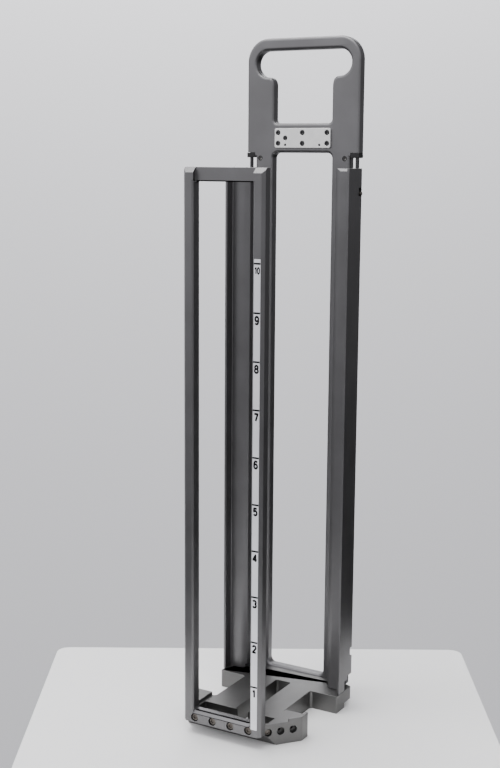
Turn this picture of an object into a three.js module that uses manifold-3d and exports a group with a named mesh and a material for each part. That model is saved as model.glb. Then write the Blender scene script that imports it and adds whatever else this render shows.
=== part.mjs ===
// A carrying rack for a stack of laboratory microplates.
// Millimetres, +Z up, +X to the right and -Y to the front.
// The origin is the middle of the footprint, on the floor.
import * as THREE from "three";
import { mergeVertices } from "three/addons/utils/BufferGeometryUtils.js";
import Module from "manifold-3d";

const wasm = await Module();
wasm.setup();

// Driving dimensions. Y values below are counted from the front face of the front frame.
const FRAME_THICK = 10;
const STACK_DEPTH = 129;
const PLATE_THICK = 10;
const DEPTH = FRAME_THICK + STACK_DEPTH + PLATE_THICK;
const PLATE_Y = FRAME_THICK + STACK_DEPTH;
const GAP = 0.3;

const BASE_TOP = 17;
const LUG_TOP = 20;
const LIP_TOP = 22.5;
const LIP_THICK = 2.5;
const BASE = { y0: FRAME_THICK + GAP, halfFront: 39, halfSide: 61.6, halfWeb: 35.4, halfRear: 62.8 };
const BASE_Y = { sideFront: 37.6, cutFront: 49.3, cutRear: 104.4, rear: PLATE_Y - GAP };
const SLOT = { x: [-5, 10.5], y: [34, 112] };
const POCKET = { halfWidth: 37, frontY: 15, rearY: 34, floor: 14.8, wallTop: 19.6 };
const GROOVE = { frontY: 24.5, floor: 10 };
const FRONT_BEVEL = { reach: 8.5, height: 11.5 };
const CORNER_HOLE = { count: 3, first: [41.3, 12.9], step: [7.5, 9.1], z: 12.4, r: 3.5, depth: 5 };

const FRAME = { halfWidth: 39.6, halfWindow: 28.9, z0: 11.5, z1: 503, sill: 22.5, lintel: 491.7 };
const LINTEL_SETBACK = 4.5;
const POST_CHAMFER = { outer: 2.8, inner: 1.4, top: 4.5, sill: 2.6 };
const FRONT_SCREW_X = [-27.6, -9.2, 9.2, 27.6];
const FRONT_SCREW_Z = 16.1;

const HANDLE = { half: 57.7, corner: 21, top: 618, grip: 606.7, railTop: 542, railBottom: 515.3 };
const LOBE = { r: 11.7, x: 36.3, z: 595 };
const NECK = { half: 29.5, blend: 9, corner: 3.5 };
const WINDOW = { half: 30.2, sill: 19, corner: 5 };
const UPRIGHT = { half: 48.4 };
const SHOULDER_Z = 511;

const RAIL = { inner: 43.6, chamferX: 49.5, chamferY: 121.7, face: 118.5, lip: [60.7, 63], lipY: 108.8 };
const RAIL_BODY = { outer: 58, stepY: 120.5, rearY: 146, z0: BASE_TOP + GAP, z1: 502 };
const RAIL_FOOT = { apronY: 120.9, z: 21.2 };
const CAM_POCKET = { x: 49.1, y: 136.5, z: 25 };
const ROD = { x: 54.4, y: 142.6, r: 1.7, bore: 2, z0: 17.5, z1: 520, travel: 3 };
const STUD = { z: 479.6, r: 1.8, tip: 59.5, slot: [477.5, 484.8], slotRear: 145.2 };
const BUSH = { x: [49.2, 57.5], y: [PLATE_Y, 145.2], z: [SHOULDER_Z, 515.3], bore: 1.95 };
const SPRING = { r: 1.55, wire: 0.32, turns: 9, z0: 520.3, z1: 538, bore: 2.3 };
const CATCH = { tip: 42, rear: 140.3, z: [17.4, 20.8], y0: 121.3, arm: [49.5, 57.4] };
const CATCH_ARM = { y0: 137, top: 24.6 };
const CAM = { pin: 0.9, slotHalf: 1.05, z: 19.9, y: [137.3, 145.2] };
const GUIDE = { x: 51.5, y: 126.5, r: 1.5, slotHalf: 1.7, z: [12, 20.6] };

const SCALE = { x: 33.7, width: 6.2, z: [18.5, 429], thick: 0.3, glue: 0.05 };
const ID = { x: 1, z: 528.6, width: 57, height: 17.5, corner: 1.5, thick: 1.5 };
const ID_SCREW = { dx: [-25, 0, 25], dz: [-4.8, 4.8], r: 1.5, head: 2.1 };
const ROUND_STEPS = 20;
const ARC_STEPS = 4;

const anodised = (r, g, b) =>
  new THREE.MeshStandardMaterial({ color: new THREE.Color(r, g, b), roughness: 0.45, metalness: 0.9 });
const MATERIALS = {
  alloy: anodised(0.2, 0.2, 0.2),
  steel: anodised(0.3, 0.3, 0.29),
  darkSteel: anodised(0.05, 0.05, 0.05),
  brightPlate: anodised(0.75, 0.76, 0.76),
  black: new THREE.MeshStandardMaterial({ color: 0x0b0b0c, roughness: 0.55, metalness: 0 }),
  label: new THREE.MeshStandardMaterial({ color: 0xf0f0f4, roughness: 0.5, metalness: 0 }),
};

// ---- solids ----

function solid(geometry) {
  const plain = new THREE.BufferGeometry();
  plain.setAttribute("position", geometry.getAttribute("position").clone());
  if (geometry.index) plain.setIndex(geometry.index.clone());
  const merged = mergeVertices(plain, 1e-4);
  const mesh = new wasm.Mesh({
    numProp: 3,
    vertProperties: merged.attributes.position.array,
    triVerts: new Uint32Array(merged.index.array),
  });
  return new wasm.Manifold(mesh);
}

function join(parts) {
  return parts.reduce((whole, part) => whole.add(part));
}

function cut(body, tools) {
  return tools.reduce((left, tool) => left.subtract(tool), body);
}

function named(name, body, material) {
  const { vertProperties, numProp, triVerts, numVert } = body.getMesh();
  const points = new Float32Array(numVert * 3);
  for (let i = 0; i < numVert; i++) points.set(vertProperties.subarray(i * numProp, i * numProp + 3), i * 3);
  const indexed = new THREE.BufferGeometry();
  indexed.setAttribute("position", new THREE.BufferAttribute(points, 3));
  indexed.setIndex(new THREE.BufferAttribute(new Uint32Array(triVerts), 1));
  const geometry = indexed.toNonIndexed();
  geometry.computeVertexNormals();
  const mesh = new THREE.Mesh(geometry, MATERIALS[material]);
  mesh.name = name;
  return mesh;
}

function box([x0, x1], [y0, y1], [z0, z1]) {
  const geometry = new THREE.BoxGeometry(x1 - x0, y1 - y0, z1 - z0);
  return solid(geometry.translate((x0 + x1) / 2, (y0 + y1) / 2, (z0 + z1) / 2));
}

// A cylinder from one point to another.
function rod(from, to, radius, steps = ROUND_STEPS) {
  const a = new THREE.Vector3(...from);
  const b = new THREE.Vector3(...to);
  const along = b.clone().sub(a);
  const geometry = new THREE.CylinderGeometry(radius, radius, along.length(), steps);
  const up = new THREE.Vector3(0, 1, 0);
  const turn = new THREE.Quaternion().setFromUnitVectors(up, along.clone().normalize());
  const middle = a.add(b).multiplyScalar(0.5);
  return solid(geometry.applyQuaternion(turn).translate(middle.x, middle.y, middle.z));
}

// ---- outlines ----

// Draws a closed outline through corners [x, y, radius], each rounded by an arc of its radius.
function traceRounded(path, corners) {
  const count = corners.length;
  corners.forEach(([x, y, radius = 0], i) => {
    const corner = new THREE.Vector2(x, y);
    const before = new THREE.Vector2(...corners[(i + count - 1) % count]).sub(corner).normalize();
    const after = new THREE.Vector2(...corners[(i + 1) % count]).sub(corner).normalize();
    const half = Math.acos(before.dot(after)) / 2;
    const reach = radius / Math.tan(half);
    const start = corner.clone().addScaledVector(before, reach);
    const end = corner.clone().addScaledVector(after, reach);
    if (i === 0) path.moveTo(start.x, start.y);
    else path.lineTo(start.x, start.y);
    if (!radius) return;
    const centre = before.add(after).normalize().multiplyScalar(radius / Math.sin(half)).add(corner);
    const angle = (p) => Math.atan2(p.y - centre.y, p.x - centre.x);
    const turn = start.clone().sub(corner).cross(end.clone().sub(corner));
    path.absarc(centre.x, centre.y, radius, angle(start), angle(end), turn > 0);
  });
  path.closePath();
  return path;
}

const rounded = (corners) => traceRounded(new THREE.Shape(), corners);
const rectangle = (x0, x1, y0, y1, r = 0) => [[x0, y0, r], [x1, y0, r], [x1, y1, r], [x0, y1, r]];

function mirrored(half) {
  const other = half.map(([x, y, r = 0]) => [-x, y, r]).reverse();
  return [...half, ...other];
}

// An outline in plan, raised from z0 to z1.
function raised(shape, z0, z1) {
  const settings = { depth: z1 - z0, bevelEnabled: false, curveSegments: ARC_STEPS };
  return solid(new THREE.ExtrudeGeometry(shape, settings).translate(0, 0, z0));
}

// An outline in elevation (X, Z), from y0 back to y1.
function upright(shape, y0, y1) {
  const settings = { depth: y1 - y0, bevelEnabled: false, curveSegments: ARC_STEPS };
  return solid(new THREE.ExtrudeGeometry(shape, settings).rotateX(Math.PI / 2).translate(0, y1, 0));
}

// A triangular (Y, Z) section run along X, from x0 to x1.
function ridge(points, x0, x1) {
  const settings = { depth: x1 - x0, bevelEnabled: false };
  const geometry = new THREE.ExtrudeGeometry(rounded(points), settings);
  geometry.rotateY(Math.PI / 2).rotateX(Math.PI / 2);
  return solid(geometry.translate(x0, 0, 0));
}

// A socket head cap screw whose head starts at a point and whose shank runs along a direction.
function capScrew(head, direction, size) {
  const start = new THREE.Vector3(...head);
  const along = new THREE.Vector3(...direction).normalize();
  const at = (d) => start.clone().addScaledVector(along, d).toArray();
  const body = rod(at(0), at(size.head), size.headR, 16);
  const shank = rod(at(size.head - 0.2), at(size.length), size.shankR, 12);
  const socket = rod(at(-1), at(size.head * 0.6), size.socketR, 6);
  return cut(join([body, shank]), [socket]);
}

const M4 = { headR: 3.4, head: 4, shankR: 1.9, length: 16, socketR: 1.75 };
const M4_SHORT = { ...M4, length: 13.6 };
const M3 = { headR: 2.7, head: 3, shankR: 1.45, length: 14, socketR: 1.45 };
const FIT = 0.3;

// The hole a cap screw sits in, open at its head.
function screwHole(head, direction, size, room = 0) {
  const start = new THREE.Vector3(...head);
  const along = new THREE.Vector3(...direction).normalize();
  const at = (d) => start.clone().addScaledVector(along, d).toArray();
  const headHole = rod(at(-8), at(size.head + FIT), size.headR + FIT + room, 20);
  return join([headHole, rod(at(0), at(size.length + 1), size.shankR + FIT, 12)]);
}

// ---- where the screws are ----

const FORWARD = [0, -1, 0];
const BACK = [0, 1, 0];

const frontScrews = FRONT_SCREW_X.map((x) => {
  return { head: [x, 0.5, FRONT_SCREW_Z], along: BACK, size: M4_SHORT };
});
const rearScrews = [-24, -8, 8, 24].map((x) => ({ head: [x, DEPTH - 0.5, 9.5], along: FORWARD, size: M4 }));
const railScrewsOf = (side) =>
  [60, 260, 460].map((z) => ({ head: [side * 45.9, DEPTH - 0.5, z], along: FORWARD, size: M3 }));
const cornerDirection = (side) => [-side * CORNER_HOLE.step[1], CORNER_HOLE.step[0], 0];
const cornerPoint = (side, i) => [
  side * (CORNER_HOLE.first[0] + i * CORNER_HOLE.step[0]),
  CORNER_HOLE.first[1] + i * CORNER_HOLE.step[1],
  CORNER_HOLE.z,
];
const CORNER_SIZE = { headR: 2.9, head: 3.4, shankR: 1.45, length: 12, socketR: 1.5 };

function cornerScrewSeat(side) {
  const inward = new THREE.Vector3(...cornerDirection(side)).normalize();
  const head = new THREE.Vector3(...cornerPoint(side, 0)).addScaledVector(inward, 1.4);
  return { head: head.toArray(), along: inward.toArray(), size: CORNER_SIZE };
}

// ---- base plate ----

function baseOutline() {
  const right = [
    [BASE.halfFront, BASE.y0, 0],
    [BASE.halfSide, BASE_Y.sideFront, 4],
    [BASE.halfSide, BASE_Y.cutFront, 1],
    [BASE.halfWeb, BASE_Y.cutFront, 3],
    [BASE.halfWeb, BASE_Y.cutRear, 3],
    [BASE.halfRear, BASE_Y.cutRear, 1],
    [BASE.halfRear, 134, 1],
    [UPRIGHT.half + 1, BASE_Y.rear, 0],
  ];
  return rounded(mirrored(right));
}

// The raised outer lug with its corner lip, on the right (side 1) or left (side -1).
function baseLug(side) {
  const flat = (points) => rounded(points.map(([x, y, r = 0]) => [side * x, y, r]));
  const outer = [
    [BASE.halfFront, BASE.y0, 0],
    [BASE.halfSide, BASE_Y.sideFront, 4],
    [BASE.halfSide, BASE_Y.cutFront, 1],
    [BASE.halfFront, BASE_Y.cutFront, 0],
  ];
  const slope = (BASE_Y.sideFront - BASE.y0) / (BASE.halfSide - BASE.halfFront);
  const lip = [
    [BASE.halfSide - 8, BASE_Y.sideFront - 8 * slope, 0],
    [BASE.halfSide, BASE_Y.sideFront, 4],
    [BASE.halfSide, BASE_Y.cutFront, 1],
    [BASE.halfSide - LIP_THICK, BASE_Y.cutFront, 0],
    [BASE.halfSide - LIP_THICK, BASE_Y.sideFront + 1, 2],
    [BASE.halfSide - 9.7, BASE_Y.sideFront - 8.2, 0],
  ];
  return join([raised(flat(outer), 1, LUG_TOP), raised(flat(lip), 1, LIP_TOP)]);
}

// The wedge taken off the bottom front edge, so the front frame clears the floor.
function frontBevel() {
  const { reach, height } = FRONT_BEVEL;
  const slope = reach / height;
  const front = BASE.y0 - 1;
  return ridge([[front, -1], [BASE.y0 + reach + slope, -1], [front, height + 1 / slope]], -70, 70);
}

// The step under each rear corner of the base.
function rearRelief(side) {
  const xs = [side * 50, side * 70].sort((a, b) => a - b);
  return box(xs, [121, 150], [-1, 4.5]);
}

function cornerHoles(side) {
  const inward = new THREE.Vector3(...cornerDirection(side)).normalize();
  return Array.from({ length: CORNER_HOLE.count }, (_, i) => {
    const mouth = new THREE.Vector3(...cornerPoint(side, i));
    const from = mouth.clone().addScaledVector(inward, -4).toArray();
    const to = mouth.clone().addScaledVector(inward, CORNER_HOLE.depth).toArray();
    const core = mouth.clone().addScaledVector(inward, CORNER_HOLE.depth + 9).toArray();
    return join([rod(from, to, CORNER_HOLE.r), rod(from, core, 1.75, 12)]);
  });
}

function basePlate() {
  const clearance = rounded(rectangle(-POCKET.halfWidth, POCKET.halfWidth, 5, POCKET.rearY, 2));
  const pocket = rounded(rectangle(-POCKET.halfWidth, POCKET.halfWidth, POCKET.frontY, POCKET.rearY, 2));
  const groove = rounded(rectangle(-POCKET.halfWidth, POCKET.halfWidth, GROOVE.frontY, POCKET.rearY, 2));
  const slot = rounded(rectangle(...SLOT.x, ...SLOT.y, 2.5));
  const guideHole = (side) =>
    rod([side * GUIDE.x, GUIDE.y, GUIDE.z[0] - 0.5], [side * GUIDE.x, GUIDE.y, 30], GUIDE.r + FIT, 12);
  const body = join([raised(baseOutline(), 0, BASE_TOP), baseLug(1), baseLug(-1)]);
  return cut(body, [
    raised(clearance, POCKET.wallTop, 40),
    raised(pocket, POCKET.floor, 40),
    raised(groove, GROOVE.floor, 40),
    raised(slot, -1, 40),
    frontBevel(),
    rearRelief(1),
    rearRelief(-1),
    ...cornerHoles(1),
    ...cornerHoles(-1),
    ...[...frontScrews, ...rearScrews].map((s) => screwHole(s.head, s.along, s.size)),
    guideHole(1),
    guideHole(-1),
  ]);
}

// ---- front frame ----

function topBevel() {
  const reach = POST_CHAMFER.top + 1;
  return ridge([[-1, FRAME.z1 + 1], [-1, FRAME.z1 - reach], [reach, FRAME.z1 + 1]], -50, 50);
}

function sillBevel() {
  const reach = POST_CHAMFER.sill + 1;
  const points = [[-1, FRAME.sill + 1], [-1, FRAME.sill - reach], [reach, FRAME.sill + 1]];
  return ridge(points, -FRAME.halfWindow, FRAME.halfWindow);
}

// A triangular prism that takes a corner off a post; width runs along X and depth along Y.
function cornerWedge(x, width, depth, z0, z1) {
  const over = 0.5;
  const slope = depth / width;
  const far = x - Math.sign(width) * over;
  const near = x + width + (Math.sign(width) * over) / Math.abs(slope);
  const points = [[far, -over], [near, -over], [far, depth + over * Math.abs(slope)]];
  return raised(rounded(points), z0, z1);
}

function frontFrame() {
  const outline = rounded(rectangle(-FRAME.halfWidth, FRAME.halfWidth, FRAME.z0, FRAME.z1, 0));
  const window = rectangle(-FRAME.halfWindow, FRAME.halfWindow, FRAME.sill, FRAME.lintel, 2);
  outline.holes.push(traceRounded(new THREE.Path(), window.reverse()));
  const { outer, inner } = POST_CHAMFER;
  const chamfers = [1, -1].flatMap((side) => [
    cornerWedge(side * FRAME.halfWidth, -side * outer, outer, 0, 510),
    cornerWedge(side * FRAME.halfWindow, side * inner, inner, FRAME.sill, FRAME.lintel),
  ]);
  const setback = box([-FRAME.halfWindow, FRAME.halfWindow], [-1, LINTEL_SETBACK], [FRAME.lintel - 1, 510]);
  const holes = frontScrews.map((s) => screwHole(s.head, s.along, s.size));
  return cut(upright(outline, 0, FRAME_THICK), [...chamfers, topBevel(), sillBevel(), setback, ...holes]);
}

// ---- rear plate with its handle ----

function handleWindow() {
  const { r, x, z } = LOBE;
  const { half, corner } = NECK;
  const quarter = Math.PI / 2;
  const floor = HANDLE.railTop;
  const neckTop = z - r - NECK.blend;
  const path = new THREE.Path();
  path.moveTo(-x, z + r);
  path.absarc(-x, z, r, quarter, 3 * quarter, false);
  path.quadraticCurveTo(-half, z - r, -half, neckTop);
  path.lineTo(-half, floor + corner);
  path.absarc(corner - half, floor + corner, corner, 2 * quarter, 3 * quarter, false);
  path.lineTo(half - corner, floor);
  path.absarc(half - corner, floor + corner, corner, 3 * quarter, 4 * quarter, false);
  path.lineTo(half, neckTop);
  path.quadraticCurveTo(half, z - r, x, z - r);
  path.absarc(x, z, r, -quarter, quarter, false);
  path.closePath();
  return path;
}

function rearOutline() {
  return rounded(mirrored([
    [UPRIGHT.half, 0, 0],
    [UPRIGHT.half, SHOULDER_Z, 0],
    [HANDLE.half, SHOULDER_Z, 1],
    [HANDLE.half, HANDLE.top, HANDLE.corner],
  ]));
}

function rodBore(side) {
  const { x, y } = ROD;
  return join([
    rod([side * x, y, 500], [side * x, y, 522], ROD.bore, 16),
    rod([side * x, y, 515], [side * x, y, SPRING.z1 + 0.4], SPRING.bore, 16),
  ]);
}

function bushPocket(side) {
  const xs = [side * (BUSH.x[0] - GAP), side * 70].sort((a, b) => a - b);
  return box(xs, [PLATE_Y - 5, BUSH.y[1] + GAP], [SHOULDER_Z - 5, BUSH.z[1] + GAP]);
}

const setScrewPoint = (side) => [side * 43.3, PLATE_Y, SHOULDER_Z - 0.6];

function setScrewHole(side) {
  const [x, y, z] = setScrewPoint(side);
  return rod([x, y - 2, z], [x, y + 8, z], 2.3, 16);
}

function idPlateHoles() {
  return idScrewPoints().map(([x, z]) => rod([x, PLATE_Y - 1, z], [x, PLATE_Y + 6, z], ID_SCREW.r + FIT, 12));
}

function rearPlate() {
  const outline = rearOutline();
  outline.holes.push(handleWindow());
  const main = rectangle(-WINDOW.half, WINDOW.half, WINDOW.sill, HANDLE.railBottom, WINDOW.corner);
  outline.holes.push(traceRounded(new THREE.Path(), main.reverse()));
  const screws = [...rearScrews, ...railScrewsOf(1), ...railScrewsOf(-1)];
  return cut(upright(outline, PLATE_Y, DEPTH), [
    ...[1, -1].flatMap((side) => [rodBore(side), bushPocket(side), setScrewHole(side)]),
    ...idPlateHoles(),
    ...screws.map((s) => screwHole(s.head, s.along, s.size)),
  ]);
}

// ---- rails ----

function railSection(side) {
  const right = [
    [RAIL.inner, RAIL.chamferY],
    [RAIL.chamferX, RAIL.face],
    [RAIL.lip[0], RAIL.face, 0.8],
    [RAIL.lip[0], RAIL.lipY],
    [RAIL.lip[1], RAIL.lipY, 0.5],
    [RAIL.lip[1], RAIL_BODY.stepY],
    [RAIL_BODY.outer, RAIL_BODY.stepY, 0.8],
    [RAIL_BODY.outer, RAIL_BODY.rearY, 1],
    [UPRIGHT.half + GAP, RAIL_BODY.rearY],
    [UPRIGHT.half + GAP, PLATE_Y - GAP],
    [RAIL.inner, PLATE_Y - GAP],
  ];
  const shape = rounded(right.map(([x, y, r = 0]) => [side * x, y, r]));
  return shape;
}

// Lead-in on top of the broad face, and the cut-away foot where the catch works.
function railCuts(side) {
  const span = (a, b) => [side * a, side * b].sort((p, q) => p - q);
  const { z1 } = RAIL_BODY;
  const leadIn = [[RAIL.face - 1, z1 - 3.4], [RAIL.face + 3.4, z1 + 1], [RAIL.face - 1, z1 + 1]];
  const [startX, endX] = span(RAIL.inner - 1, RAIL.lip[0]);
  return [
    ridge(leadIn, startX, endX),
    box(span(40, 70), [RAIL_FOOT.apronY, 150], [10, RAIL_FOOT.z]),
    box(span(CAM_POCKET.x, 70), [CAM_POCKET.y, 150], [10, CAM_POCKET.z]),
    box(span(ROD.x - 1, 70), [ROD.y - 2.8, STUD.slotRear], STUD.slot),
    box(span(RAIL_BODY.outer - 2.2, 70), [ROD.y - 1, 150], [43, 51.5]),
    rod([side * ROD.x, ROD.y, 10], [side * ROD.x, ROD.y, 510], ROD.bore, 16),
    ...railScrewsOf(side).map((s) => screwHole(s.head, s.along, s.size)),
  ];
}

function rail(side) {
  return cut(raised(railSection(side), RAIL_BODY.z0, RAIL_BODY.z1), railCuts(side));
}

// ---- release rods, their studs, bushes, springs and catches ----

function releaseRod(side) {
  const body = rod([side * ROD.x, ROD.y, ROD.z0], [side * ROD.x, ROD.y, ROD.z1], ROD.r, 14);
  const studHole = rod([side * 50, ROD.y, STUD.z], [side * 70, ROD.y, STUD.z], 1.15, 12);
  const pinHole = rod([side * ROD.x, 130, CAM.z], [side * ROD.x, 150, CAM.z], CAM.pin + 0.12, 12);
  return cut(body, [studHole, pinHole]);
}

function releaseStud(side) {
  const at = (x) => [side * x, ROD.y, STUD.z];
  const knob = rod(at(ROD.x + ROD.r + GAP), at(STUD.tip), STUD.r, 16);
  return join([knob, rod(at(ROD.x - 1), at(ROD.x + 3), 1, 12)]);
}

function rodBush(side) {
  const xs = [side * BUSH.x[0], side * BUSH.x[1]].sort((a, b) => a - b);
  const bore = rod([side * ROD.x, ROD.y, 500], [side * ROD.x, ROD.y, 530], BUSH.bore, 16);
  return cut(box(xs, BUSH.y, BUSH.z), [bore]);
}

class Helix extends THREE.Curve {
  getPoint(t) {
    const angle = t * SPRING.turns * Math.PI * 2;
    const z = t * (SPRING.z1 - SPRING.z0 - 2 * SPRING.wire);
    return new THREE.Vector3(SPRING.r * Math.cos(angle), SPRING.r * Math.sin(angle), z);
  }
}

function rodSpring(side) {
  const section = new THREE.Shape().absarc(0, 0, SPRING.wire, 0, Math.PI * 2, false);
  const steps = SPRING.turns * 10;
  const settings = { steps, curveSegments: 3, bevelEnabled: false, extrudePath: new Helix() };
  const geometry = new THREE.ExtrudeGeometry(section, settings);
  return solid(geometry.translate(side * ROD.x, ROD.y, SPRING.z0 + SPRING.wire));
}

// The slot in the catch's arm, sloping so that a rising pin draws the catch outwards.
function camSlot(side) {
  const { slotHalf, z } = CAM;
  const travel = ROD.travel;
  const from = [side * ROD.x, z];
  const to = [side * (ROD.x - travel), z + travel];
  const [front, rear] = [CATCH_ARM.y0 - 1, CATCH.rear + 3];
  const lobes = [from, to].map(([x, h]) => rod([x, front, h], [x, rear, h], slotHalf, 12));
  const middle = new THREE.BoxGeometry(Math.SQRT2 * travel, rear - front, 2 * slotHalf * 0.98);
  middle.rotateY(side * Math.PI / 4);
  middle.translate((from[0] + to[0]) / 2, (front + rear) / 2, (from[1] + to[1]) / 2);
  return join([...lobes, solid(middle)]);
}

function catchBlock(side) {
  const flat = (points) => rounded(points.map(([x, y, r = 0]) => [side * x, y, r]));
  const outline = flat([
    [CATCH.tip, CATCH.y0 + 4, 1],
    [CATCH.tip + 6, CATCH.y0, 1],
    [CATCH.arm[1] - 0.6, CATCH.y0, 1],
    [CATCH.arm[1] - 0.6, 134],
    [CATCH.arm[1], 134],
    [CATCH.arm[1], CATCH.rear],
    [CATCH.arm[0], CATCH.rear],
    [CATCH.arm[0], 134.5, 1],
    [CATCH.tip, 134.5, 1],
  ]);
  const arm = flat(rectangle(...CATCH.arm, CATCH_ARM.y0, CATCH.rear, 0));
  const half = GUIDE.slotHalf;
  const guideX = [GUIDE.x - ROD.travel - half, GUIDE.x + half];
  const guide = rectangle(...guideX, GUIDE.y - half, GUIDE.y + half, half - 0.05);
  const block = join([raised(outline, ...CATCH.z), raised(arm, CATCH.z[0], CATCH_ARM.top)]);
  return cut(block, [raised(flat(guide), 10, 30), camSlot(side)]);
}

function camPin(side) {
  return rod([side * ROD.x, CAM.y[0], CAM.z], [side * ROD.x, CAM.y[1], CAM.z], CAM.pin, 12);
}

function guidePin(side) {
  return rod([side * GUIDE.x, GUIDE.y, GUIDE.z[0]], [side * GUIDE.x, GUIDE.y, GUIDE.z[1]], GUIDE.r, 12);
}

// ---- plates, labels and small hardware ----

function scaleStrip() {
  const half = SCALE.width / 2;
  const outline = rounded(rectangle(SCALE.x - half, SCALE.x + half, ...SCALE.z, 0.5));
  return upright(outline, -SCALE.thick - SCALE.glue, -SCALE.glue);
}

const idScrewPoints = () => ID_SCREW.dx.flatMap((dx) => ID_SCREW.dz.map((dz) => [ID.x + dx, ID.z + dz]));
const CODE_PLUG = [ID.x - 17.5, ID.z];
const CODE_PINS = [-17.5, 17.5].map((dx) => [ID.x + dx, ID.z - 6.2]);

function idPlate() {
  const half = ID.width / 2;
  const tall = ID.height / 2;
  const outline = rounded(rectangle(ID.x - half, ID.x + half, ID.z - tall, ID.z + tall, ID.corner));
  const front = PLATE_Y - 0.1;
  const through = (r) => ([x, z]) => rod([x, front - 5, z], [x, front + 5, z], r, 16);
  const holes = [
    ...idScrewPoints().map(through(ID_SCREW.r + 0.9)),
    through(2.2)(CODE_PLUG),
    ...CODE_PINS.map(through(1.1)),
  ];
  return cut(upright(outline, front - ID.thick, front), holes);
}

function idScrew([x, z]) {
  const size = { headR: ID_SCREW.head, head: 1.5, shankR: ID_SCREW.r, length: 7, socketR: 1.1 };
  return capScrew([x, PLATE_Y - ID.thick - 0.2, z], BACK, size);
}

function plug([x, z], radius) {
  return rod([x, PLATE_Y - ID.thick, z], [x, PLATE_Y - 0.1, z], radius, 14);
}

function setScrew(side) {
  const [x, y, z] = setScrewPoint(side);
  const socket = rod([x, y - 2, z], [x, y + 2, z], 1.1, 6);
  return cut(rod([x, y + 0.4, z], [x, y + 7, z], 2, 14), [socket]);
}

// ---- assembly ----

const rack = new THREE.Group();
rack.position.y = -(DEPTH - SCALE.thick - SCALE.glue) / 2;
const put = (name, body, material) => rack.add(named(name, body, material));
const putScrews = (prefix, screws) =>
  screws.forEach((s, i) => put(`${prefix}_${i + 1}`, capScrew(s.head, s.along, s.size), "steel"));

put("base_plate", basePlate(), "alloy");
put("front_frame", frontFrame(), "alloy");
put("rear_plate", rearPlate(), "alloy");
put("scale_strip", scaleStrip(), "label");
put("id_plate", idPlate(), "brightPlate");
idScrewPoints().forEach((point, i) => put(`id_plate_screw_${i + 1}`, idScrew(point), "darkSteel"));
put("code_plug", plug(CODE_PLUG, 1.9), "black");
CODE_PINS.forEach((point, i) => put(`code_pin_${i + 1}`, plug(point, 0.8), "darkSteel"));
putScrews("front_screw", frontScrews);
putScrews("rear_screw", rearScrews);

for (const [word, side] of [["left", -1], ["right", 1]]) {
  put(`${word}_rail`, rail(side), "alloy");
  put(`${word}_rod_bush`, rodBush(side), "black");
  put(`${word}_set_screw`, setScrew(side), "darkSteel");
  put(`${word}_release_rod`, releaseRod(side), "darkSteel");
  put(`${word}_release_stud`, releaseStud(side), "steel");
  put(`${word}_rod_spring`, rodSpring(side), "steel");
  put(`${word}_cam_pin`, camPin(side), "steel");
  put(`${word}_catch`, catchBlock(side), "black");
  put(`${word}_guide_pin`, guidePin(side), "steel");
  putScrews(`${word}_rail_screw`, railScrewsOf(side));
  const seat = cornerScrewSeat(side);
  put(`${word}_corner_screw`, capScrew(seat.head, seat.along, seat.size), "steel");
}

export default rack;
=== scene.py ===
"""Looks for a carrying rack for microplates: grey anodised alloy, a printed scale and sprung catches."""

import math

import bmesh
import bpy
from mathutils import Matrix, Vector


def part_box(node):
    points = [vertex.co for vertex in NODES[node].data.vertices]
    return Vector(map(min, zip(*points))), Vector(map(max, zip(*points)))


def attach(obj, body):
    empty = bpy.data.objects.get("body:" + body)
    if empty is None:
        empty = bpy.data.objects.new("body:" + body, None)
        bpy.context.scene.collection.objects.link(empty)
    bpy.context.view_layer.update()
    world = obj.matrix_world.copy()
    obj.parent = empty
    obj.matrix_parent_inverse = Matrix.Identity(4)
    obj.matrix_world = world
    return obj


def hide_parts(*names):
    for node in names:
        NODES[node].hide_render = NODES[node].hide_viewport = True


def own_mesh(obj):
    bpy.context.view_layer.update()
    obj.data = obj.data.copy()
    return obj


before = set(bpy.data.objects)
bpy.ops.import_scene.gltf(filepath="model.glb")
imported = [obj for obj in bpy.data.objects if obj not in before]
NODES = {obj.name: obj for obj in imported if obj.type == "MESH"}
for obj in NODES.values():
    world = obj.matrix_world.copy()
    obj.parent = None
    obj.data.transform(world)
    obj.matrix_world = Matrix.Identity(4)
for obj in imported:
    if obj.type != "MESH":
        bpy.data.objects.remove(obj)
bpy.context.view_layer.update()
MM = 0.001

# Driving sizes, in metres, and how finely round shapes are cut.
PLATE_FILLET = 2.6 * MM
EDGE_BREAK = 0.35 * MM
SHOULDER_CORNER = 0.6 * MM
CLEARANCE = 0.3 * MM
RING = 48
ARC_STEPS = 12
LOBE_STEPS = 24
OUTLINE_STEPS = 20

# Edges flatter than FLAT are merged away and those sharper than SHARP are rounded, both in degrees.
FLAT = 0.6
SHARP = 36
WELD = 2e-6

# The handle's opening, about the rear plate's middle line; heights are from the floor.
HANDLE = {"half": 57.7 * MM, "corner": 21 * MM, "shoulder": 511 * MM, "rail_top": 542 * MM}
LOBE = {"r": 11.7 * MM, "x": 36.3 * MM, "z": 595 * MM}
NECK = {"half": 29.5 * MM, "blend": 9 * MM, "corner": 3.5 * MM}
WINDOW = {"half": 30.2 * MM, "sill": 19 * MM, "head": 515.3 * MM, "corner": 5 * MM}
UPRIGHT_HALF = 48.4 * MM

# Holes in the rear plate that the CAD pieces beside it don't give.
ROD_BORE = {"r": 2.3 * MM, "foot": 513 * MM, "top": 538.4 * MM}
SET_SCREW_HOLE = {"r": 2.3 * MM, "depth": 8 * MM}
ID_SCREW_HOLE = {"r": 1.8 * MM, "depth": 6 * MM}

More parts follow.
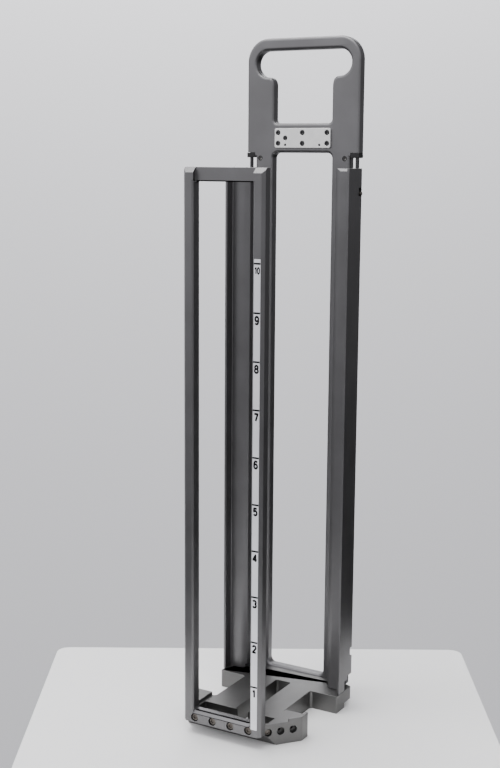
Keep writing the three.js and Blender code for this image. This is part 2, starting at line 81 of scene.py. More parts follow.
# The printed scale. A stroke's half width is a part of its figure's width.
SCALE_STEP = 40.8 * MM
TICK_HALF = 0.75 * MM
FIGURE = {"width": 6.3 * MM, "height": 7 * MM, "drop": 6 * MM, "stroke": 0.13, "relief": 0.2 * MM}
FIGURE_PAIR = {"offsets": (-1.35 * MM, 1.2 * MM), "widths": (4.3 * MM, 4.0 * MM), "height": 0.82}

# A cap screw's sizes: head height, as a part of the whole length, and radii, as parts of the head's.
HEAD = {"part": 0.25, "tallest": 4 * MM, "rim": 0.92, "shank": 0.52, "hole": 0.6}
HEAD_SUNK = {"front": 0.7 * MM, "corner": 0.4 * MM}

SPRING = {"wire": 0.32 * MM, "turns": 9, "steps": 24, "travel": 3 * MM}
STUD = {"neck": 3.1 * MM, "thread": 1 * MM}

# Across and back along the base's angled corner face.
CORNER_FACE = (9.1, 7.5)

# The camera's place in metres, its angles in degrees and its lens in millimetres.
CAMERA = {"place": (0.5618, -1.0005, 0.5119), "yaw": 29.98, "pitch": 9.93, "roll": 0.41, "lens": 60.96}
SENSOR = 36

# The stage, turned to face the camera: the table's sides, and the wall's sides, faces and height.
TABLE = {"sides": (-0.213, 0.21, -0.3, 0.157), "corner": 0.012, "thick": 0.02}
WALL = {"x": (-4, 0.85), "y": (1.9, 1.95), "z": (-2, 3.2)}


# ---------------------------------------------------------------- camera, light and stage

def add_camera():
    """Stands to the right of the rack's front, looking slightly down."""
    yaw, pitch, roll = (math.radians(CAMERA[angle]) for angle in ("yaw", "pitch", "roll"))
    level_forward = Vector((-math.sin(yaw), math.cos(yaw), 0))
    forward = level_forward * math.cos(pitch) - Vector((0, 0, math.sin(pitch)))
    level = Vector((math.cos(yaw), math.sin(yaw), 0))
    up = level.cross(forward)
    right = level * math.cos(roll) + up * math.sin(roll)
    above = up * math.cos(roll) - level * math.sin(roll)
    data = bpy.data.cameras.new("camera")
    data.sensor_width = SENSOR
    data.lens = CAMERA["lens"]
    camera = bpy.data.objects.new("camera", data)
    turn = Matrix((right, above, -forward)).transposed().to_4x4()
    camera.matrix_world = Matrix.Translation(CAMERA["place"]) @ turn
    bpy.context.scene.collection.objects.link(camera)
    bpy.context.scene.camera = camera


def add_area_light(name, place, target, size, power, colour=(1, 1, 1)):
    data = bpy.data.lights.new(name, "AREA")
    data.shape = "RECTANGLE"
    data.size, data.size_y = size
    data.energy = power
    data.color = colour
    lamp = bpy.data.objects.new(name, data)
    lamp.location = place
    lamp.rotation_euler = (Vector(target) - Vector(place)).to_track_quat("-Z", "Y").to_euler()
    bpy.context.scene.collection.objects.link(lamp)


def world_range(tree, value, start, end, low, high):
    """Maps value from the run start to end onto low to high, smoothly."""
    node = tree.nodes.new("ShaderNodeMapRange")
    node.interpolation_type = "SMOOTHSTEP"
    for socket, number in (("From Min", start), ("From Max", end), ("To Min", low), ("To Max", high)):
        node.inputs[socket].default_value = number
    tree.links.new(value, node.inputs["Value"])
    return node.outputs["Result"]


def world_dot(tree, vector, direction):
    node = tree.nodes.new("ShaderNodeVectorMath")
    node.operation = "DOT_PRODUCT"
    node.inputs[1].default_value = direction
    tree.links.new(vector, node.inputs[0])
    return node.outputs["Value"]


def add_room():
    """A pale room, dimmer towards its floor and towards the far right."""
    world = bpy.data.worlds.new("room")
    bpy.context.scene.world = world
    world.use_nodes = True
    tree = world.node_tree
    place = tree.nodes.new("ShaderNodeTexCoord").outputs["Generated"]
    height = world_range(tree, world_dot(tree, place, (0, 0, 1)), -0.28, 0.14, 0.10, 1.24)
    side = world_range(tree, world_dot(tree, place, (0.6, 0.8, 0)), -0.1, 0.8, 1.0, 0.30)
    strength = tree.nodes.new("ShaderNodeMath")
    strength.operation = "MULTIPLY"
    tree.links.new(height, strength.inputs[0])
    tree.links.new(side, strength.inputs[1])
    background = tree.nodes["Background"]
    background.inputs["Color"].default_value = (0.965, 0.96, 1.0, 1)
    tree.links.new(strength.outputs["Value"], background.inputs["Strength"])


def add_lights():
    add_room()
    add_area_light("ceiling", (-0.35, -0.35, 2.2), (-0.1, 0.0, 0), (1.9, 1.1), 38)
    add_area_light("front_fill", (-1.5, -1.7, 1.5), (0, 0, 0.35), (1.2, 0.9), 9, (0.97, 0.97, 1))
    add_area_light("wall_wash", (-0.6, 0.95, 2.2), (-1.1, 1.82, 1.85), (2.6, 0.4), 84)


def add_stage():
    """A pale table top and a pale wall behind it."""
    outline = rounded(rectangle(*TABLE["sides"], TABLE["corner"]))
    table = outline_solid("table", [outline], -TABLE["thick"], 0.0, "flat")
    wall = slab("wall", WALL["x"], WALL["y"], WALL["z"])
    for piece, colour in ((table, (0.92, 0.92, 0.91)), (wall, (0.86, 0.86, 0.88))):
        piece.matrix_world = Matrix.Rotation(math.radians(CAMERA["yaw"]), 4, "Z") @ piece.matrix_world
        piece.data.materials.append(plain_material(piece.name + "_paint", colour, 0.6))


# ---------------------------------------------------------------- materials

def principled(name, slots):
    """A new material whose shader sockets are set from slots; returns it with its node tree and shader."""
    material = bpy.data.materials.new(name)
    material.use_nodes = True
    shader = material.node_tree.nodes["Principled BSDF"]
    for socket, value in slots.items():
        shader.inputs[socket].default_value = value
    return material, material.node_tree, shader


def plain_material(name, colour, roughness):
    material, tree, shader = principled(name, {"Base Color": (*colour, 1), "Roughness": roughness})
    grain = noise(tree, 900, 3)
    add_bump(tree, shader, grain, 0.05, 0.0001)
    return material


def noise(tree, scale, detail, stretch=(1, 1, 1)):
    """A noise texture in object space, where one unit is a metre."""
    place = tree.nodes.new("ShaderNodeTexCoord")
    mapping = tree.nodes.new("ShaderNodeMapping")
    mapping.inputs["Scale"].default_value = stretch
    texture = tree.nodes.new("ShaderNodeTexNoise")
    texture.inputs["Scale"].default_value = scale
    texture.inputs["Detail"].default_value = detail
    tree.links.new(place.outputs["Object"], mapping.inputs["Vector"])
    tree.links.new(mapping.outputs["Vector"], texture.inputs["Vector"])
    return texture.outputs["Fac"]


def ramp(tree, value, low, high, start=0.3, end=0.7):
    """Maps a texture value onto a run between two colours."""
    node = tree.nodes.new("ShaderNodeValToRGB")
    node.color_ramp.elements[0].position = start
    node.color_ramp.elements[1].position = end
    node.color_ramp.elements[0].color = (*low, 1)
    node.color_ramp.elements[1].color = (*high, 1)
    tree.links.new(value, node.inputs["Fac"])
    return node.outputs["Color"]


def map_range(tree, value, low, high):
    node = tree.nodes.new("ShaderNodeMapRange")
    node.inputs["To Min"].default_value = low
    node.inputs["To Max"].default_value = high
    tree.links.new(value, node.inputs["Value"])
    return node.outputs["Result"]


def add_bump(tree, shader, height, strength, distance):
    node = tree.nodes.new("ShaderNodeBump")
    node.inputs["Strength"].default_value = strength
    node.inputs["Distance"].default_value = distance
    tree.links.new(height, node.inputs["Height"])
    tree.links.new(node.outputs["Normal"], shader.inputs["Normal"])


def multiply(tree, a, b):
    node = tree.nodes.new("ShaderNodeMix")
    node.data_type = "RGBA"
    node.blend_type = "MULTIPLY"
    node.inputs["Factor"].default_value = 1
    tree.links.new(a, node.inputs["A"])
    tree.links.new(b, node.inputs["B"])
    return node.outputs["Result"]


def blasted_alloy(name, dark, light):
    """Bead-blasted, grey anodised aluminium: a fine even grain, faint cloudiness and a few duller patches."""
    material, tree, shader = principled(name, {"Metallic": 1.0})
    cloud = ramp(tree, noise(tree, 22, 4), dark, light)
    speck = ramp(tree, noise(tree, 2600, 2), (0.9, 0.9, 0.9), (1, 1, 1))
    tree.links.new(multiply(tree, cloud, speck), shader.inputs["Base Color"])
    tree.links.new(map_range(tree, noise(tree, 60, 5), 0.36, 0.52), shader.inputs["Roughness"])
    add_bump(tree, shader, noise(tree, 2200, 3), 0.22, 0.00006)
    return material


def machined_steel(name, dark, light, roughness):
    """Turned steel with fine marks running round it."""
    material, tree, shader = principled(name, {"Metallic": 1.0})
    tree.links.new(ramp(tree, noise(tree, 300, 4), dark, light), shader.inputs["Base Color"])
    tree.links.new(map_range(tree, noise(tree, 500, 3), *roughness), shader.inputs["Roughness"])
    add_bump(tree, shader, noise(tree, 1800, 2, (1, 1, 4)), 0.15, 0.00004)
    return material


def bright_alloy():
    """Finely milled, clear anodised plate."""
    material, tree, shader = principled("bright_alloy", {"Metallic": 1.0})
    tint = ramp(tree, noise(tree, 120, 4), (0.86, 0.86, 0.845), (0.94, 0.94, 0.925))
    tree.links.new(tint, shader.inputs["Base Color"])
    tree.links.new(map_range(tree, noise(tree, 300, 3, (1, 1, 12)), 0.38, 0.5), shader.inputs["Roughness"])
    add_bump(tree, shader, noise(tree, 700, 2, (0.2, 1, 10)), 0.1, 0.00004)
    return material


def black_plastic():
    material, tree, shader = principled("black_plastic", {"Specular IOR Level": 0.4})
    tree.links.new(ramp(tree, noise(tree, 200, 3), (0.008, 0.008, 0.009), (0.016, 0.016, 0.017)),
                   shader.inputs["Base Color"])
    tree.links.new(map_range(tree, noise(tree, 900, 3), 0.42, 0.6), shader.inputs["Roughness"])
    add_bump(tree, shader, noise(tree, 2400, 2), 0.2, 0.00005)
    return material


def printed_film(name, dark, light, gloss=0.45):
    material, tree, shader = principled(name, {"Specular IOR Level": gloss})
    tree.links.new(ramp(tree, noise(tree, 35, 4), dark, light), shader.inputs["Base Color"])
    tree.links.new(map_range(tree, noise(tree, 500, 2), 0.34, 0.46), shader.inputs["Roughness"])
    add_bump(tree, shader, noise(tree, 700, 2), 0.08, 0.00003)
    return material


# ---------------------------------------------------------------- mesh helpers

def link(name, mesh):
    piece = bpy.data.objects.new(name, mesh)
    bpy.context.scene.collection.objects.link(piece)
    return piece


def from_bmesh(name, bm, smooth_angle=32):
    """A new object from bm, smooth except at edges sharper than smooth_angle."""
    bmesh.ops.recalc_face_normals(bm, faces=bm.faces)
    limit = math.radians(smooth_angle)
    for face in bm.faces:
        face.smooth = True
    for edge in bm.edges:
        edge.smooth = len(edge.link_faces) == 2 and edge.calc_face_angle(0) < limit
    mesh = bpy.data.meshes.new(name)
    bm.to_mesh(mesh)
    bm.free()
    return link(name, mesh)


def baked(piece, name, smooth_angle=32):
    """A new mesh object from piece with its modifiers applied; piece itself is removed."""
    bpy.context.view_layer.update()
    evaluated = piece.evaluated_get(bpy.context.evaluated_depsgraph_get())
    bm = bmesh.new()
    bm.from_mesh(bpy.data.meshes.new_from_object(evaluated))
    bm.transform(piece.matrix_world)
    bpy.data.objects.remove(piece)
    bmesh.ops.remove_doubles(bm, verts=bm.verts, dist=1e-7)
    return from_bmesh(name, bm, smooth_angle)


def keep_flats_flat(piece):
    modifier = piece.modifiers.new("flats", "WEIGHTED_NORMAL")
    modifier.keep_sharp = True


def slab(name, xs, ys, zs):
    bm = bmesh.new()
    bmesh.ops.create_cube(bm, size=1)
    size = [b - a for a, b in (xs, ys, zs)]
    middle = [(a + b) / 2 for a, b in (xs, ys, zs)]
    bm.transform(Matrix.Translation(middle) @ Matrix.Diagonal((*size, 1)))
    return from_bmesh(name, bm)


def rectangle(x0, x1, y0, y1, r=0.0):
    return [(x0, y0, r), (x1, y0, r), (x1, y1, r), (x0, y1, r)]


def arc(centre, radius, start, end, steps=10):
    """Points from angle start to end, in degrees, round a centre."""
    angles = [math.radians(start + (end - start) * i / steps) for i in range(steps + 1)]
    return [Vector((centre[0] + radius * math.cos(a), centre[1] + radius * math.sin(a))) for a in angles]


def rounded(corners, steps=8):
    """The closed outline through corners (x, y, radius), each corner turned into an arc."""
    points = []
    for i, (x, y, radius) in enumerate(corners):
        corner = Vector((x, y))
        before = (Vector(corners[i - 1][:2]) - corner).normalized()
        after = (Vector(corners[(i + 1) % len(corners)][:2]) - corner).normalized()
        if not radius:
            points.append(corner)
            continue
        half = before.angle(after) / 2
        centre = corner + (before + after).normalized() * radius / math.sin(half)
        start = corner + before * radius / math.tan(half) - centre
        sweep = start.angle_signed(corner + after * radius / math.tan(half) - centre)
        points += [centre + Matrix.Rotation(-sweep * k / steps, 2) @ start for k in range(steps + 1)]
    return points


def outline_solid(name, outlines, low, high, stand, fillet=0.0):
    """A plate from outlines, the first outer and the rest holes, with rounded edges.

    It lies flat from z low to high, or with stand "upright" runs from y low to high."""
    curve = bpy.data.curves.new(name, "CURVE")
    curve.dimensions = "2D"
    curve.fill_mode = "BOTH"
    curve.extrude = (high - low) / 2 - fillet
    curve.bevel_depth = fillet
    curve.bevel_resolution = 5
    curve.offset = -fillet
    for outline in outlines:
        spline = curve.splines.new("POLY")
        spline.points.add(len(outline) - 1)
        for point, place in zip(spline.points, outline):
            point.co = (*place, 0, 1)
        spline.use_cyclic_u = True
    piece = link(name + "_curve", curve)
    middle = (low + high) / 2
    if stand == "upright":
        piece.matrix_world = Matrix.Translation((0, middle, 0)) @ Matrix.Rotation(math.pi / 2, 4, "X")
    else:
        piece.matrix_world = Matrix.Translation((0, 0, middle))
    return baked(piece, name)


def turned(name, profile, origin, direction):
    """A turned solid: profile holds (distance along, radius, shape), shape being "round" or "hex".

    A hex ring is the hexagon whose flats are radius from the axis."""
    along = Vector(direction).normalized()
    side = along.orthogonal().normalized()
    other = along.cross(side)
    bm = bmesh.new()
    rings = []
    for distance, radius, shape in profile:
        ring = []
        for k in range(RING):
            angle = 2 * math.pi * k / RING
            reach = radius
            if shape == "hex":
                reach = radius / math.cos((angle + math.pi / 6) % (math.pi / 3) - math.pi / 6)
            offset = side * math.cos(angle) * reach + other * math.sin(angle) * reach
            ring.append(bm.verts.new(Vector(origin) + along * distance + offset))
        rings.append(ring)
    for a, b in zip(rings, rings[1:]):
        for k in range(RING):
            bm.faces.new((a[k], a[(k + 1) % RING], b[(k + 1) % RING], b[k]))
    bm.faces.new(rings[0])
    bm.faces.new(rings[-1])
    return from_bmesh(name, bm)


def cylinder_cutter(bm, start, end, radius, segments=32):
    start, end = Vector(start), Vector(end)
    turn = Vector((0, 0, 1)).rotation_difference(end - start).to_matrix().to_4x4()
    place = Matrix.Translation((start + end) / 2) @ turn
    bmesh.ops.create_cone(bm, cap_ends=True, segments=segments, radius1=radius, radius2=radius,
                          depth=(end - start).length, matrix=place)


def box_cutter(bm, low, high):
    low, high = Vector(low), Vector(high)
    place = Matrix.Translation((low + high) / 2) @ Matrix.Diagonal((*(high - low), 1))
    bmesh.ops.create_cube(bm, size=1, matrix=place)


def cut_out(piece, cutter_bm):
    """Takes the cutter's solids out of piece."""
    name = piece.name
    piece.name = name + "_uncut"
    cutter = from_bmesh(name + "_cutter", cutter_bm)
    modifier = piece.modifiers.new("cut", "BOOLEAN")
    modifier.operation = "DIFFERENCE"
    modifier.solver = "EXACT"
    modifier.use_self = True
    modifier.object = cutter
    result = baked(piece, name)
    bpy.data.objects.remove(cutter)
    return result


# ---------------------------------------------------------------- pieces made from CAD nodes

def finish_piece(piece, body, slot, material, *nodes):
    piece.data.materials.clear()
    piece.data.materials.append(material)
    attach(piece, body)
    if nodes:
        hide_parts(*nodes)
    return piece


def edge_broken(node, body, slot, material, width=EDGE_BREAK):
    """A finer copy of a CAD node: its flats merged and every sharp edge rounded."""
    bm = bmesh.new()
    bm.from_mesh(NODES[node].data)
    bmesh.ops.remove_doubles(bm, verts=bm.verts, dist=WELD)
    bmesh.ops.dissolve_limit(bm, angle_limit=math.radians(FLAT), verts=bm.verts, edges=bm.edges)
    piece = from_bmesh(node + "_raw", bm)
    bevel = piece.modifiers.new("edge", "BEVEL")
    bevel.width = width
    bevel.segments = 3
    bevel.limit_method = "ANGLE"
    bevel.angle_limit = math.radians(SHARP)
    bevel.use_clamp_overlap = False
    bevel.miter_outer = "MITER_ARC"
    piece = baked(piece, node + "_fine")
    keep_flats_flat(piece)
    return finish_piece(piece, body, slot, material, node)


def screw_seat(node, direction):
    """Where a screw's head starts, its head radius and its whole length, read from the CAD node."""
    direction = Vector(direction).normalized()
    points = {tuple(round(c, 6) for c in v.co) for v in NODES[node].data.vertices}
    points = [Vector(p) for p in points]
    start = min(p.dot(direction) for p in points)
    length = max(p.dot(direction) for p in points) - start
    rim = [p for p in points if p.dot(direction) < start + 1e-5]
    centre = sum(rim, Vector()) / len(rim)
    return centre, max((p - centre).length for p in rim), length


def cap_screw(node, direction, body, slot, material, socket=0.46, sunk=0.0):
    """A socket head cap screw with a chamfered head and a drilled hexagon socket.

    Its head is a little narrower than the CAD's, and starts sunk below the CAD's."""
    centre, head, length = screw_seat(node, direction)
    flat = head * socket
    rim = head * HEAD["rim"]
    tall = min(HEAD["tallest"], length * HEAD["part"])
    shank = head * HEAD["shank"]
    profile = [
        (tall * 0.72, flat * 0.3, "round"),
        (tall * 0.6, flat, "hex"),
        (sunk + 0.12 * MM, flat, "hex"),
        (sunk, flat * 1.06, "hex"),
        (sunk, rim * 0.88, "round"),
        (sunk + 0.08 * MM, rim * 0.94, "round"),
        (sunk + 0.32 * MM, rim, "round"),
        (tall - 0.1 * MM, rim, "round"),
        (tall, rim * 0.97, "round"),
        (tall, shank, "round"),
        (length - 0.5 * MM, shank, "round"),
        (length, shank * 0.72, "round"),
    ]
    return finish_piece(turned(node + "_fine", profile, centre, direction), body, slot, material, node)


def plain_pin(node, direction, body, slot, material, chamfer=0.2 * MM):
    """A turned pin with chamfered ends, over a CAD cylinder."""
    low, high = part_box(node)
    direction = Vector(direction)
    length = abs((high - low).dot(direction))
    across = Vector((1, 1, 1)) - Vector([abs(c) for c in direction])
    radius = max((high - low)[i] * across[i] for i in range(3)) / 2
    start = (low + high) / 2 - direction * length / 2
    profile = [
        (0, radius - chamfer, "round"), (chamfer, radius, "round"),
        (length - chamfer, radius, "round"), (length, radius - chamfer, "round"),
    ]
    return finish_piece(turned(node + "_fine", profile, start, direction), body, slot, material, node)


# ---------------------------------------------------------------- the rear plate

def handle_opening():
    r, x, z = LOBE["r"], LOBE["x"], LOBE["z"]
    half, corner, floor = NECK["half"], NECK["corner"], HANDLE["rail_top"]
    neck_top = z - r - NECK["blend"]

    def sweep(side):
        """The S-curve from a lobe's underside into the neck."""
        a = Vector((side * x, z - r))
        b = Vector((side * half, z - r))
        c = Vector((side * half, neck_top))
        return [a.lerp(b, t).lerp(b.lerp(c, t), t) for t in (k / ARC_STEPS for k in range(1, ARC_STEPS))]

    points = arc((-x, z), r, 90, 270, LOBE_STEPS)
    points += sweep(-1)
    points += arc((corner - half, floor + corner), corner, 180, 270)
    points += arc((half - corner, floor + corner), corner, 270, 360)
    points += list(reversed(sweep(1)))
    points += arc((x, z), r, -90, 90, LOBE_STEPS)
    return points


def rear_outline():
    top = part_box("rear_plate")[1].z
    half, shoulder = HANDLE["half"], HANDLE["shoulder"]
    right = [(UPRIGHT_HALF, 0, 0), (UPRIGHT_HALF, shoulder, 0), (half, shoulder, SHOULDER_CORNER),
             (half, top, HANDLE["corner"])]
    left = [(-x, z, r) for x, z, r in reversed(right)]
    return rounded(right + left, OUTLINE_STEPS)


def rear_plate(material):
    low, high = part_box("rear_plate")
    half = WINDOW["half"]
    window = rounded(rectangle(-half, half, WINDOW["sill"], WINDOW["head"], WINDOW["corner"]), ARC_STEPS)
    plate = outline_solid("rear_plate_fine", [rear_outline(), handle_opening(), window],
                          low.y, high.y, "upright", PLATE_FILLET)
    cutter = bmesh.new()
    for word, side in (("left", -1), ("right", 1)):
        bush_low, bush_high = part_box(word + "_rod_bush")
        inner = (bush_low.x if side > 0 else bush_high.x) - side * CLEARANCE
        xs = sorted((inner, side * 70 * MM))
        box_cutter(cutter, (xs[0], low.y - 5 * MM, bush_low.z - 5 * MM),
                   (xs[1], bush_high.y + CLEARANCE, bush_high.z + CLEARANCE))
        rod = middle_of(word + "_release_rod")
        foot, top = ROD_BORE["foot"], ROD_BORE["top"]
        cylinder_cutter(cutter, (rod.x, rod.y, foot), (rod.x, rod.y, top), ROD_BORE["r"])
        front_hole(cutter, word + "_set_screw", low.y, 3 * MM, SET_SCREW_HOLE)
        for i in (1, 2, 3):
            screw_hole(cutter, f"{word}_rail_screw_{i}", (0, -1, 0))
    for i in range(1, 5):
        screw_hole(cutter, f"rear_screw_{i}", (0, -1, 0))
    for i in range(1, 7):
        front_hole(cutter, f"id_plate_screw_{i}", low.y, 2 * MM, ID_SCREW_HOLE)
    plate = cut_out(plate, cutter)
    keep_flats_flat(plate)
    return finish_piece(plate, "rack", "alloy", material, "rear_plate")


def middle_of(node):
    low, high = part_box(node)
    return (low + high) / 2


def front_hole(cutter, node, face, ahead, hole):
    """A plain hole for node in the rear plate, from ahead of its front face to the hole's depth."""
    middle = middle_of(node)
    start = (middle.x, face - ahead, middle.z)
    cylinder_cutter(cutter, start, (middle.x, face + hole["depth"], middle.z), hole["r"])


def screw_hole(cutter, node, direction):
    """The counterbored hole a cap screw sits in."""
    direction = Vector(direction)
    centre, head, length = screw_seat(node, direction)
    seat = centre + direction * (HEAD["part"] * length + CLEARANCE)
    cylinder_cutter(cutter, centre - direction * 5 * MM, seat, head + CLEARANCE)
    cylinder_cutter(cutter, centre, centre + direction * (length + MM), head * HEAD["hole"], 24)


# ---------------------------------------------------------------- the printed scale

def bend(x, z, half_width, half_height, start, end, steps=12):
    """Points round an ellipse, from angle start to end in degrees."""
    angles = [math.radians(start + (end - start) * i / steps) for i in range(steps + 1)]
    return [(x + half_width * math.cos(a), z + half_height * math.sin(a)) for a in angles]


# The middle line of each figure's strokes, in a box one unit high.
SIX = [bend(0.02, 0.10, 0.25, 0.34, 40, 180) + [(-0.23, -0.14)], bend(0, -0.17, 0.235, 0.26, 0, 360, 24)]
STROKES = {
    "0": [bend(0, 0, 0.25, 0.42, 0, 360, 24)],
    "1": [[(-0.16, 0.24), (0.06, 0.42), (0.06, -0.44)]],
    "2": [bend(0, 0.19, 0.25, 0.24, 170, -30) + [(-0.25, -0.42), (0.27, -0.42)]],
    "3": [bend(-0.02, 0.21, 0.24, 0.21, 155, -80), bend(-0.02, -0.21, 0.26, 0.22, 80, -155)],
    "4": [[(0.30, -0.20), (-0.28, -0.20), (0.10, 0.42), (0.10, -0.44)]],
    "5": [[(0.24, 0.42), (-0.19, 0.42), (-0.22, 0.02)] + bend(-0.01, -0.15, 0.25, 0.27, 125, -150)],
    "6": SIX,
    "7": [[(-0.26, 0.42), (0.25, 0.42), (-0.05, -0.44)]],
    "8": [bend(0, 0.22, 0.21, 0.20, 0, 360, 24), bend(0, -0.20, 0.25, 0.23, 0, 360, 24)],
    "9": [[(-x, -z) for x, z in stroke] for stroke in SIX],
}


def eased(stroke, reach=0.03):
    """The stroke with a point close to both sides of each corner, where its bevel would else grow thin."""
    points = []
    for a, b in zip(map(Vector, stroke), map(Vector, stroke[1:])):
        step = (b - a) * min(reach / (b - a).length, 0.3)
        points += [a, a + step, b - step]
    return points + [Vector(stroke[-1])]


def figure(digit, place, width, height):
    """A bold figure standing on the strip."""
    curve = bpy.data.curves.new("figure", "CURVE")
    curve.dimensions = "3D"
    curve.bevel_depth = FIGURE["stroke"]
    curve.bevel_resolution = 3
    curve.use_fill_caps = True
    for stroke in STROKES[digit]:
        closed = stroke[0] == stroke[-1] or math.dist(stroke[0], stroke[-1]) < 1e-6
        points = stroke[:-1] if closed else eased(stroke)
        spline = curve.splines.new("POLY")
        spline.points.add(len(points) - 1)
        for point, (x, z) in zip(spline.points, points):
            point.co = (x, z, 0, 1)
        spline.use_cyclic_u = closed
    shape = link("figure_curve", curve)
    shape.matrix_world = (Matrix.Translation(place) @ Matrix.Rotation(math.pi / 2, 4, "X")
                          @ Matrix.Diagonal((width, height, FIGURE["relief"], 1)))
    return baked(shape, "figure", 60)


def numeral(text, place):
    """One figure, or a pair of smaller ones side by side."""
    if len(text) == 1:
        return [figure(text, place, FIGURE["width"], FIGURE["height"])]
    height = FIGURE["height"] * FIGURE_PAIR["height"]
    return [figure(digit, Vector(place) + Vector((offset, 0, 0.2 * MM)), width, height)
            for digit, offset, width in zip(text, FIGURE_PAIR["offsets"], FIGURE_PAIR["widths"])]


def printed_scale(film_material, ink_material):
    low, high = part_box("scale_strip")
    middle = (low.x + high.x) / 2
    outline = rounded(rectangle(low.x, high.x, low.z, high.z, 0.5 * MM))
    film = outline_solid("scale_film", [outline], low.y + 0.05 * MM, high.y, "upright", 0.05 * MM)
    finish_piece(film, "rack", "label", film_material, "scale_strip")
    print_y = low.y + 0.03 * MM
    marks = []
    base_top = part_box("left_rail")[0].z
    tick_x = (low.x + 0.05 * MM, high.x - 0.05 * MM)
    tick_y = (print_y - 0.02 * MM, print_y + 0.03 * MM)
    for number in range(1, 11):
        height = base_top + number * SCALE_STEP
        marks.append(slab("tick", tick_x, tick_y, (height - TICK_HALF, height + TICK_HALF)))
        marks += numeral(str(number), (middle, print_y, height - FIGURE["drop"]))
    ink = joined("scale_print", marks)
    finish_piece(ink, "rack", "label", ink_material)


def joined(name, pieces):
    """One object from several, which are removed."""
    bm = bmesh.new()
    for piece in pieces:
        copy = piece.data.copy()
        copy.transform(piece.matrix_world)
        bm.from_mesh(copy)
        bpy.data.objects.remove(piece)
    return from_bmesh(name, bm, 60)


# ---------------------------------------------------------------- springs, rods and catches

def rod_spring(word, material):
    """A closed-end compression spring over a release rod's end."""
    low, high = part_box(word + "_rod_spring")
    wire, turns, steps = SPRING["wire"], SPRING["turns"], SPRING["steps"]
    radius = (high.x - low.x) / 2 - wire
    curve = bpy.data.curves.new(word + "_spring", "CURVE")
    curve.dimensions = "3D"
    curve.bevel_depth = wire
    curve.bevel_resolution = 3
    curve.use_fill_caps = True
    spline = curve.splines.new("POLY")
    spline.points.add(turns * steps)
    middle = (low + high) / 2
    tall = high.z - low.z - 2 * wire
    for k, point in enumerate(spline.points):
        angle = 2 * math.pi * k / steps
        height = low.z + wire + tall * k / (turns * steps)
        point.co = (middle.x + radius * math.cos(angle), middle.y + radius * math.sin(angle), height, 1)
    piece = baked(link(word + "_spring_curve", curve), word + "_rod_spring_fine", 60)
    finish_piece(piece, "rack", "steel", material, word + "_rod_spring")
    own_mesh(piece)


def release_rod(word, material):
    plain_pin(word + "_release_rod", (0, 0, 1), word + "_release", "dark_steel", material, 0.4 * MM)


def release_stud(word, side, material):
    """A domed stud with a grip groove, screwed into the rod."""
    low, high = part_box(word + "_release_stud")
    middle = (low + high) / 2
    radius = (high.z - low.z) / 2
    start = low.x if side > 0 else high.x
    length = high.x - low.x
    neck, thread = STUD["neck"], STUD["thread"]
    profile = [
        (0, thread - 0.2 * MM, "round"), (0.2 * MM, thread, "round"), (neck, thread, "round"),
        (neck, radius * 0.93, "round"), (neck + 0.2 * MM, radius, "round"),
        (length - 1.5 * MM, radius, "round"), (length - 1.3 * MM, radius * 0.9, "round"),
        (length - 1.1 * MM, radius * 0.9, "round"), (length - 0.9 * MM, radius, "round"),
        (length - 0.5 * MM, radius * 0.98, "round"), (length - 0.15 * MM, radius * 0.8, "round"),
        (length, radius * 0.45, "round"),
    ]
    piece = turned(word + "_release_stud_fine", profile, (start, middle.y, middle.z), (side, 0, 0))
    finish_piece(piece, word + "_release", "steel", material, word + "_release_stud")


# ---------------------------------------------------------------- assembly

def corner_direction(side):
    """Into the base's angled corner face."""
    return Vector((-side * CORNER_FACE[0], CORNER_FACE[1], 0)).normalized()


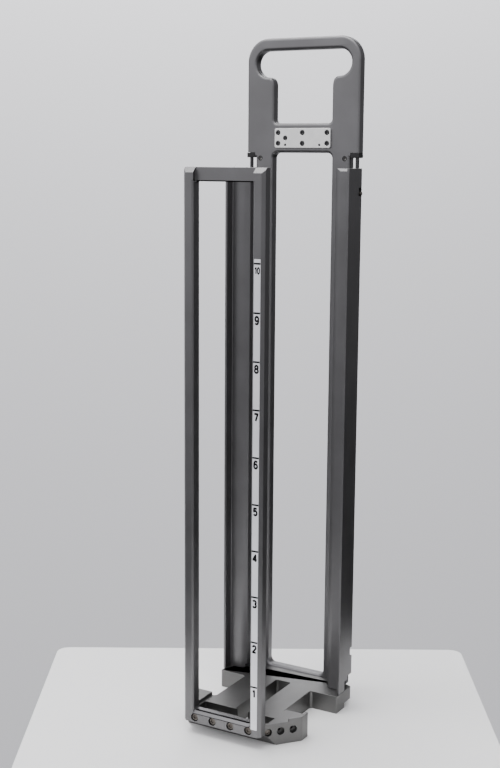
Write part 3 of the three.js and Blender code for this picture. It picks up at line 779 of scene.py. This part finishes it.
def build():
    alloy = blasted_alloy("anodised_alloy", (0.175, 0.173, 0.175), (0.208, 0.206, 0.210))
    # Painted shade: the base plate takes a darker, warmer copy of the same anodised alloy, which stands in
    # for shade on its faces.
    shaded_base_alloy = blasted_alloy("shaded_base_alloy", (0.142, 0.141, 0.138), (0.170, 0.169, 0.166))
    steel = machined_steel("bright_steel", (0.10, 0.09, 0.08), (0.17, 0.155, 0.14), (0.26, 0.4))
    dark = machined_steel("dark_steel", (0.05, 0.05, 0.052), (0.09, 0.09, 0.092), (0.3, 0.45))
    worn = machined_steel("worn_steel", (0.09, 0.088, 0.085), (0.19, 0.185, 0.18), (0.25, 0.4))
    plastic = black_plastic()
    bright = bright_alloy()
    film = printed_film("scale_film", (0.75, 0.75, 0.79), (0.83, 0.83, 0.86))
    ink = printed_film("scale_ink", (0.004, 0.004, 0.005), (0.009, 0.009, 0.010), 0.1)

    rear_plate(alloy)
    edge_broken("front_frame", "rack", "alloy", alloy)
    edge_broken("base_plate", "rack", "alloy", shaded_base_alloy)
    edge_broken("id_plate", "rack", "bright_plate", bright, 0.22 * MM)
    printed_scale(film, ink)
    for i in range(1, 5):
        cap_screw(f"front_screw_{i}", (0, 1, 0), "rack", "steel", steel, 0.5, HEAD_SUNK["front"])
        cap_screw(f"rear_screw_{i}", (0, -1, 0), "rack", "steel", steel)
    for i in range(1, 7):
        cap_screw(f"id_plate_screw_{i}", (0, 1, 0), "rack", "dark_steel", dark, 0.5)
    plain_pin("code_plug", (0, 1, 0), "rack", "black_plastic", plastic)
    plain_pin("code_pin_1", (0, 1, 0), "rack", "dark_steel", dark)
    plain_pin("code_pin_2", (0, 1, 0), "rack", "dark_steel", dark)

    for word, side in (("left", -1), ("right", 1)):
        edge_broken(word + "_rail", "rack", "alloy", alloy)
        edge_broken(word + "_rod_bush", "rack", "black_plastic", plastic, 0.3 * MM)
        edge_broken(word + "_catch", word + "_latch", "black_plastic", plastic, 0.3 * MM)
        release_rod(word, dark)
        release_stud(word, side, steel)
        rod_spring(word, steel)
        plain_pin(word + "_cam_pin", (0, 1, 0), word + "_release", "steel", steel)
        plain_pin(word + "_guide_pin", (0, 0, 1), "rack", "steel", steel)
        cap_screw(word + "_set_screw", (0, 1, 0), "rack", "dark_steel", worn, 0.55)
        for i in (1, 2, 3):
            cap_screw(f"{word}_rail_screw_{i}", (0, -1, 0), "rack", "steel", steel)
        into = corner_direction(side)
        cap_screw(word + "_corner_screw", into, "rack", "steel", steel, 0.5, HEAD_SUNK["corner"])


add_camera()
add_lights()
build()
add_stage()
